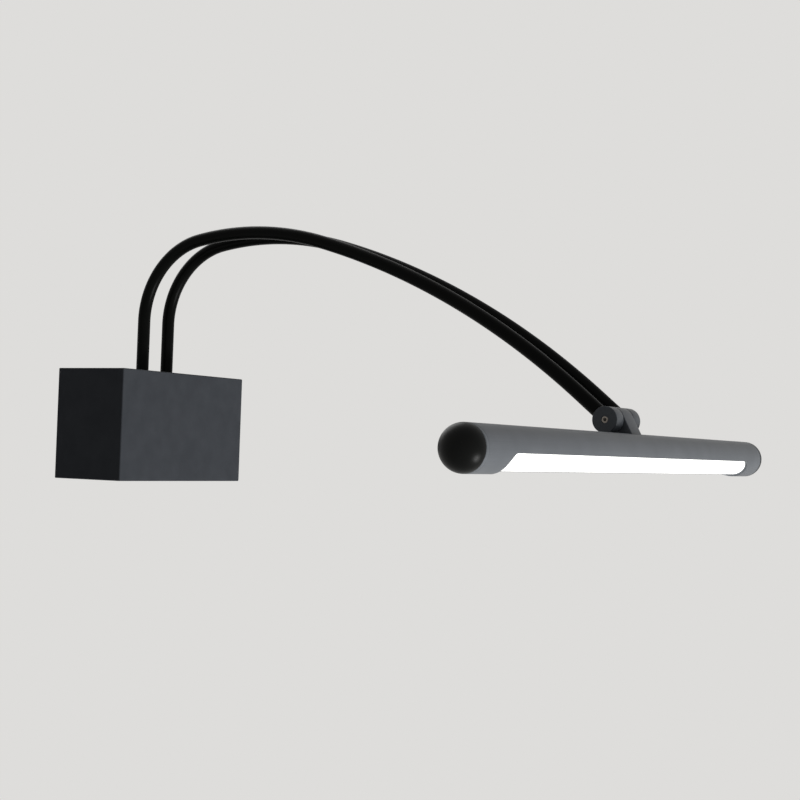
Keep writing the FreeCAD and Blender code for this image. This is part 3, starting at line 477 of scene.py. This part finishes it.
def rod(name, node, across):
    """One bent rod and its threaded foot, which runs through the nut inside the box."""
    foot_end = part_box("arm_nuts")[0].z - STUD_SPARE
    foot_line = np.array([(-ARM_DEPTH, foot_end), (-ARM_DEPTH, BOX_TOP)])
    bar = swept(rod_line(), ROD_DIAMETER / 2, across)
    foot = swept(foot_line, STUD_DIAMETER / 2, across, 48)
    solid(name, [bar, foot], "wall_arm", ROD_BLACK, node, sharp=40)


rod("bent_rod_left", "arm_rod_left", -ROD_SPACING / 2)
rod("bent_rod_right", "arm_rod_right", ROD_SPACING / 2)

# ---------------------------------------------------------------- hinge


def knuckle(name, node, side):
    """Turned disc: eased rims, and a counterbore for the pivot's head in its outer face."""
    half = KNUCKLE_WIDTH / 2
    rim = KNUCKLE_DIAMETER / 2 - KNUCKLE_EDGE
    bore = PIVOT_HEAD / 2 + 0.06 * MM
    mouth = 0.15 * MM
    bore_floor = -half + PIVOT_RECESS + PIVOT_HEAD_HEIGHT
    profile = np.vstack([
        [(half, 0.0), (half, rim)],
        quarter_round(half - KNUCKLE_EDGE, rim, KNUCKLE_EDGE, 0),
        quarter_round(-half + KNUCKLE_EDGE, rim, KNUCKLE_EDGE, 90),
        [(-half, bore + mouth), (-half + mouth, bore), (bore_floor, bore), (bore_floor, 0.0)],
    ])
    place = Matrix.Translation(HINGE + Vector((side * ROD_SPACING / 2, 0, 0)))
    if side > 0:
        place = place @ TURNED_ROUND
    solid(name, [turned(profile, 128)], "wall_arm", KNUCKLE_GREY, node, place)


def pivot():
    """Screw with a plain shank, and the round nut that it ends in, flush in the knuckles."""
    face = (ROD_SPACING + KNUCKLE_WIDTH) / 2 - PIVOT_RECESS
    start = -face + PIVOT_HEAD_HEIGHT - 0.1 * MM
    end = face - PIVOT_HEAD_HEIGHT + PIVOT_THREAD
    radius = PIVOT_DIAMETER / 2
    shank = turned([(start, 0), (start, radius), (end, radius), (end, 0)], 48)
    place = Matrix.Translation(HINGE)
    screw = [socket_head(-face, PIVOT_HEAD_HEIGHT), shank]
    nut = [socket_head(face, -PIVOT_HEAD_HEIGHT)]
    solid("pivot_screw_detailed", screw, "wall_arm", PIVOT_STEEL,
          "pivot_screw", place, sharp=30)
    solid("pivot_nut_detailed", nut, "wall_arm", PIVOT_STEEL,
          "pivot_nut", place, sharp=30)


def bracket_outline(inset):
    """Outline in (y, z) about the hinge: a half circle, straight sides and a foot coped to the tube.

    inset draws the half circle and the sides in; the foot's arc, (R sin a, R cos a - drop),
    lies just inside the tube's skin.
    """
    radius = KNUCKLE_DIAMETER / 2 - inset
    over = np.linspace(0, math.pi, 49)
    reach = math.asin(radius / TUBE_RADIUS)
    under = np.linspace(-reach, reach, 33)
    foot_radius = TUBE_RADIUS - 0.15 * MM
    y = np.concatenate([radius * np.cos(over), foot_radius * np.sin(under)])
    z = np.concatenate([radius * np.sin(over), foot_radius * np.cos(under) - HEAD_DROP])
    return np.stack([y, z], axis=1)


def head_bracket():
    """The outline carried along X, with a quarter round (e (1 - sin a), e (1 - cos a)) at each face."""
    half, edge = BRACKET_WIDTH / 2, 0.6 * MM
    angle = np.linspace(math.pi / 2, 0, 6)
    along = -half + edge * (1 - np.sin(angle))
    inset = edge * (1 - np.cos(angle))
    along = np.concatenate([along, -along[::-1]])
    outlines = np.stack([bracket_outline(step) for step in np.concatenate([inset, inset[::-1]])])
    places = np.broadcast_to(along[:, None, None], (*outlines.shape[:2], 1))
    rings = np.concatenate([places, outlines], axis=2)
    solid("bracket_tongue", [capped(rings)], "lamp_head", KNUCKLE_GREY,
          "head_bracket", HINGE_FRAME)


knuckle("knuckle_disc_left", "knuckle_left", -1)
knuckle("knuckle_disc_right", "knuckle_right", 1)
pivot()
head_bracket()

# ---------------------------------------------------------------- lamp head

RIM_ROUND = 0.6 * MM
LINE_DEPTH = 0.12 * MM
LINE_FROM_END = 2.3 * MM
LINE_HALF_WIDTH = 0.6 * MM
RIM_STATIONS = np.concatenate([
    np.linspace(LINE_FROM_END + LINE_HALF_WIDTH, LINE_FROM_END - LINE_HALF_WIDTH, 9),
    np.linspace(RIM_ROUND, 0.0, 7),
])


def rim_relief(from_end):
    """How far the skin lies inside the tube's radius, at a distance s from its end.

    The rim is a quarter round, e - sqrt(e^2 - (e - s)^2), and a shallow turned line runs
    round the tube near its end, d (1 + cos(pi t)) / 2 with t from -1 to 1 across it.
    """
    drop = np.clip(RIM_ROUND - from_end, 0, RIM_ROUND)
    across = np.clip(np.abs(from_end - LINE_FROM_END) / LINE_HALF_WIDTH, 0, 1)
    line = LINE_DEPTH * (1 + np.cos(math.pi * across)) / 2
    return RIM_ROUND - np.sqrt(RIM_ROUND ** 2 - drop ** 2) + line


def on_tube(angle, along):
    """Point of the tube's skin; angle 0 faces straight down, so y = R sin(angle)."""
    radius = TUBE_RADIUS - rim_relief(TUBE_LENGTH / 2 - np.abs(along))
    return np.stack([along, radius * np.sin(angle), -radius * np.cos(angle)], axis=-1)


def tube_sheet():
    """Outer skin of the tube with its window, as grids over (angle, x).

    The cutter leaves x = end - r + r cos(t), y = w - r + r sin(t) in each corner of the window.
    A collar runs from there to each end of the tube, and the back joins both round the top.
    """
    half = TUBE_LENGTH / 2
    end = half - WINDOW_MARGIN
    turn = np.linspace(0, math.pi / 2, 17)
    corner_y = WINDOW_WIDTH / 2 - WINDOW_CORNER + WINDOW_CORNER * np.sin(turn)
    corner_x = end - WINDOW_CORNER + WINDOW_CORNER * np.cos(turn)
    middle = np.linspace(-corner_y[0], corner_y[0], 12)[1:-1]
    span = np.arcsin(np.concatenate([-corner_y[::-1], middle, corner_y]) / TUBE_RADIUS)
    window_end = np.concatenate([corner_x[::-1], np.full(len(middle), end), corner_x])[:, None]
    plain = window_end + (half - RIM_STATIONS[0] - window_end) * np.linspace(0, 1, 16)
    rim = np.broadcast_to(half - RIM_STATIONS[1:], (len(span), len(RIM_STATIONS) - 1))
    collar = np.hstack([plain, rim])
    right = on_tube(np.broadcast_to(span[:, None], collar.shape), collar)
    left = right * np.array([-1.0, 1.0, 1.0])
    over = np.linspace(span[-1], 2 * math.pi - span[-1], 150)
    inner = np.linspace(-collar[-1, 0], collar[-1, 0], 120)
    stations = np.concatenate([-collar[-1][::-1], inner[1:-1], collar[-1]])
    back = on_tube(*np.meshgrid(over, stations, indexing="ij"))
    return [(right, False), (left, False), (back, False)]


def lamp_tube():
    """The skin, given its wall inwards and a fine broken edge all round the window and the ends."""
    piece = solid("lamp_tube_milled", tube_sheet(), "lamp_head", TUBE_GREY,
                  "lamp_tube", TUBE_FRAME)
    wall = piece.modifiers.new("wall", "SOLIDIFY")
    wall.thickness = TUBE_WALL
    wall.offset = -1
    wall.use_even_offset = True
    edge = piece.modifiers.new("broken_edge", "BEVEL")
    edge.width = 0.35 * MM
    edge.segments = 2
    edge.limit_method = "ANGLE"
    edge.angle_limit = math.radians(50)


def inner_web():
    """Flat web across the tube, as wide as the tube's bore is at the web's upper face."""
    half_length = TUBE_LENGTH / 2 - PLUG_DEPTH - SLIDING_FIT
    top = WEB_HEIGHT + WEB_THICKNESS
    half_width = math.sqrt((TUBE_RADIUS - TUBE_WALL) ** 2 - top ** 2)
    corners = np.array([
        (-half_width, WEB_HEIGHT), (half_width, WEB_HEIGHT), (half_width, top), (-half_width, top),
    ])
    rings = np.empty((2, 4, 3))
    rings[..., 0] = np.array([-half_length, half_length])[:, None]
    rings[..., 1:] = corners
    solid("tube_inner_web", [capped(rings)], "lamp_head", TUBE_GREY, None, TUBE_FRAME)


def diffuser():
    """Opal strip: an arc (R sin a, -R cos a) behind the window, with its thickness inwards."""
    radius = TUBE_RADIUS - TUBE_WALL - SLIDING_FIT
    reach = DIFFUSER_ANGLE / 2
    half = TUBE_LENGTH / 2 - WINDOW_MARGIN + DIFFUSER_LAP
    angle, along = np.meshgrid(
        np.linspace(-reach, reach, 72), np.linspace(-half, half, 60), indexing="ij")
    outside, inside = (
        np.stack([along, r * np.sin(angle), -r * np.cos(angle)], axis=-1)
        for r in (radius, radius - DIFFUSER_THICKNESS)
    )
    grids = [
        outside,
        inside,
        np.stack([outside[0], inside[0]]),
        np.stack([outside[-1], inside[-1]]),
        np.stack([outside[:, 0], inside[:, 0]]),
        np.stack([outside[:, -1], inside[:, -1]]),
    ]
    solid("opal_diffuser", [(grid, False) for grid in grids], "lamp_head", OPAL,
          "diffuser", TUBE_FRAME)


def end_cap(name, node, side):
    """Dome (-R cos a, R sin a), a small step at the seam, and a hollow plug in the tube."""
    seam, step = 0.5 * MM, 0.6 * MM
    chamfer = np.array((0.5, 0.4)) * MM
    plug = TUBE_RADIUS - TUBE_WALL - SLIDING_FIT
    swing = np.linspace(0, math.pi / 2, 48)
    dome = TUBE_RADIUS * np.stack([-np.cos(swing), np.sin(swing)], axis=1)
    profile = np.vstack([
        dome[dome[:, 0] < -seam],
        [(-seam, TUBE_RADIUS - 0.01 * MM), (-seam, TUBE_RADIUS - step), (0.0, TUBE_RADIUS - step)],
        [(0.0, plug), (PLUG_DEPTH - chamfer[0], plug), (PLUG_DEPTH, plug - chamfer[1])],
        [(PLUG_DEPTH, plug - PLUG_WALL), (0.0, plug - PLUG_WALL), (0.0, 0.0)],
    ])
    place = TUBE_FRAME @ Matrix.Translation((side * TUBE_LENGTH / 2, 0, 0))
    if side > 0:
        place = place @ TURNED_ROUND
    solid(name, [turned(profile, 160)], "lamp_head", CAP_BLACK, node, place,
          sharp=30)


lamp_tube()
inner_web()
diffuser()
end_cap("domed_cap_left", "end_cap_left", -1)
end_cap("domed_cap_right", "end_cap_right", 1)

# ---------------------------------------------------------------- stage, light and camera

BACKDROP = srgb("#DEDDDB")
FLOOR_HALF = 1.3
FLOOR_HEIGHT = -1.4
FLOOR_OWN_COLOUR = 0.72  # share of the backdrop's colour in the floor's middle, the rest is lit
KEY_DIRECTION = Vector((0.35, -0.63, -0.70)).normalized()
ROOM_SHADES = ((0.0, 0.012), (0.4, 0.018), (0.62, 0.21), (0.85, 0.50), (1.0, 0.62))
ROOM_STRENGTH = 1.2
LIGHT_AIM = Vector((0, -0.2, 0.05))
CAMERA_PLACE = Vector((-0.8166, -0.7103, -0.0117))
CAMERA_YAW, CAMERA_PITCH, CAMERA_ROLL = np.radians((30.522, 1.968, 1.901))
CAMERA_LENS = 67.5


def shows_backdrop(tree):
    """1 for camera, glossy and transmission rays, so that metal and glass show the backdrop too."""
    path = add(tree, "ShaderNodeLightPath").outputs
    seen = add(tree, MATH, {0: path["Is Camera Ray"], 1: path["Is Glossy Ray"]}, operation="ADD")
    return add(tree, MATH, {0: seen, 1: path["Is Transmission Ray"]}, operation="ADD")


def build_world():
    """Pale backdrop where it is seen; otherwise a dim room, brighter towards the key direction.

    The room's shade follows the cosine between a ray and the key direction, from -1 to 1.
    """
    world = bpy.data.worlds.new("studio")
    bpy.context.scene.world = world
    world.use_nodes = True
    tree = world.node_tree
    tree.nodes.clear()
    ray = add(tree, "ShaderNodeTexCoord").outputs["Generated"]
    facing = add(tree, VECTOR_MATH, {0: ray, 1: KEY_DIRECTION}, operation="DOT_PRODUCT")
    turned_to_key = {"Value": facing.outputs["Value"], "From Min": -1.0, "From Max": 1.0}
    shade = add(tree, RAMP, {"Fac": add(tree, "ShaderNodeMapRange", turned_to_key)}, ROOM_SHADES)
    room = add(tree, "ShaderNodeBackground", {"Color": shade, "Strength": ROOM_STRENGTH})
    pale = add(tree, "ShaderNodeBackground", {"Color": BACKDROP})
    mix = add(tree, "ShaderNodeMixShader", {0: shows_backdrop(tree), 1: room, 2: pale})
    add(tree, "ShaderNodeOutputWorld", {"Surface": mix})


def build_floor():
    """Pale floor well below the lamp: matt in the middle, where it keeps the lamp's shadow.

    Towards its edges it turns into the backdrop's own colour where it is seen.
    """
    material = bpy.data.materials.new("pale_studio_floor")
    material.use_nodes = True
    tree = material.node_tree
    tree.nodes.clear()
    place = add(tree, "ShaderNodeTexCoord").outputs["Object"]
    unit = (1 / FLOOR_HALF, 1 / FLOOR_HALF, 0)
    flat = add(tree, VECTOR_MATH, {0: place, 1: unit}, operation="MULTIPLY")
    reach = add(tree, VECTOR_MATH, {0: flat}, operation="LENGTH").outputs["Value"]
    share = add(tree, RAMP, {"Fac": reach}, ((0.0, FLOOR_OWN_COLOUR), (0.95, 1.0)))
    seen = add(tree, MATH, {0: shows_backdrop(tree), 1: share}, operation="MULTIPLY")
    matt = add(tree, "ShaderNodeBsdfDiffuse", {"Color": BACKDROP})
    glow = add(tree, "ShaderNodeEmission", {"Color": BACKDROP})
    mix = add(tree, "ShaderNodeMixShader", {0: seen, 1: matt, 2: glow})
    add(tree, "ShaderNodeOutputMaterial", {"Surface": mix})
    corners = np.array([(-1, -1, 0), (1, -1, 0), (1, 1, 0), (-1, 1, 0)]) * FLOOR_HALF
    corners[:, 2] = FLOOR_HEIGHT
    mesh = bpy.data.meshes.new("floor")
    mesh.from_pydata(corners.tolist(), [], [(0, 1, 2, 3)])
    mesh.materials.append(material)
    floor = bpy.data.objects.new("floor", mesh)
    bpy.context.scene.collection.objects.link(floor)


def area_light(name, place, size, power):
    """Square soft light aimed at the middle of the lamp."""
    light = bpy.data.lights.new(name, "AREA")
    light.size = size
    light.energy = power
    lamp = bpy.data.objects.new(name, light)
    lamp.location = place
    lamp.rotation_euler = (LIGHT_AIM - Vector(place)).to_track_quat("-Z", "Y").to_euler()
    bpy.context.scene.collection.objects.link(lamp)


def build_camera():
    """Camera beside the box, looking along the lamp and slightly up."""
    forward = Vector((
        math.cos(CAMERA_PITCH) * math.cos(CAMERA_YAW),
        math.cos(CAMERA_PITCH) * math.sin(CAMERA_YAW),
        math.sin(CAMERA_PITCH),
    ))
    level = Vector((math.sin(CAMERA_YAW), -math.cos(CAMERA_YAW), 0))
    rise = level.cross(forward)
    right = level * math.cos(CAMERA_ROLL) + rise * math.sin(CAMERA_ROLL)
    up = rise * math.cos(CAMERA_ROLL) - level * math.sin(CAMERA_ROLL)
    turn = Matrix((right, up, -forward)).transposed().to_4x4()
    camera = bpy.data.cameras.new("camera")
    camera.sensor_width = 36
    camera.lens = CAMERA_LENS
    camera.clip_start = 0.01
    view = bpy.data.objects.new("camera", camera)
    view.matrix_world = Matrix.Translation(CAMERA_PLACE) @ turn
    bpy.context.scene.collection.objects.link(view)
    bpy.context.scene.camera = view


build_world()
build_floor()
area_light("key_from_the_room", (0.1, -1.6, -0.95), 0.5, 16)
area_light("fill_from_above_and_behind", (0.7, 1.0, 1.1), 1.4, 9)
build_camera()
bpy.context.scene.view_settings.view_transform = "Standard"
